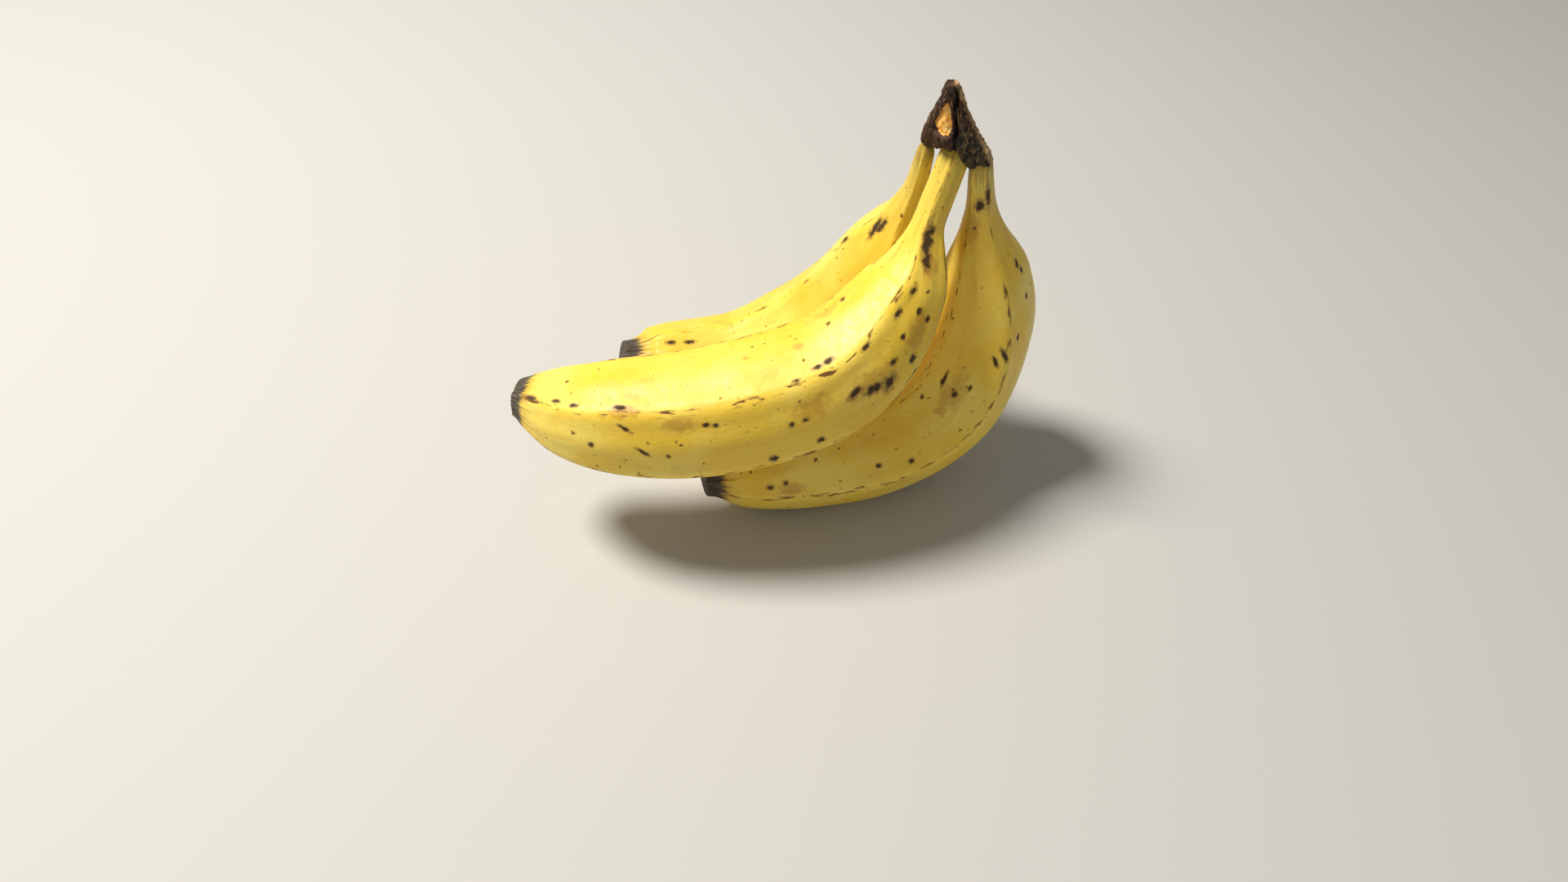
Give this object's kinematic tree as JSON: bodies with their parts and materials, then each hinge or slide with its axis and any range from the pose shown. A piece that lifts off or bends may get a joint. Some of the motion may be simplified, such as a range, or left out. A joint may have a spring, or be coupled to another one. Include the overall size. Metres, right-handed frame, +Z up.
{
  "type": "bunch of bananas",
  "caption": "Small bunch of ripe, freckled bananas still joined at their dried crown, lying on a flat surface. Fresh fruit for a kitchen, a shop or a table.",
  "frame": {"origin": "bottom centre of the whole bunch's bounding box, on the surface it lies on", "axes": "+Z up; +X along the long horizontal way, from the tips to the crown; -Y is the side the front banana leans to"},
  "size_m": [0.1486, 0.0918, 0.1306],
  "materials": {
    "skin_front": "satin",
    "skin_back": "satin",
    "skin_right": "satin",
    "dried_crown": "matte"
  },
  "bodies": {
    "root": {"banana_front": "skin_front", "banana_back": "skin_back", "banana_right": "skin_right", "crown": "dried_crown"}
  },
  "joints": []
}
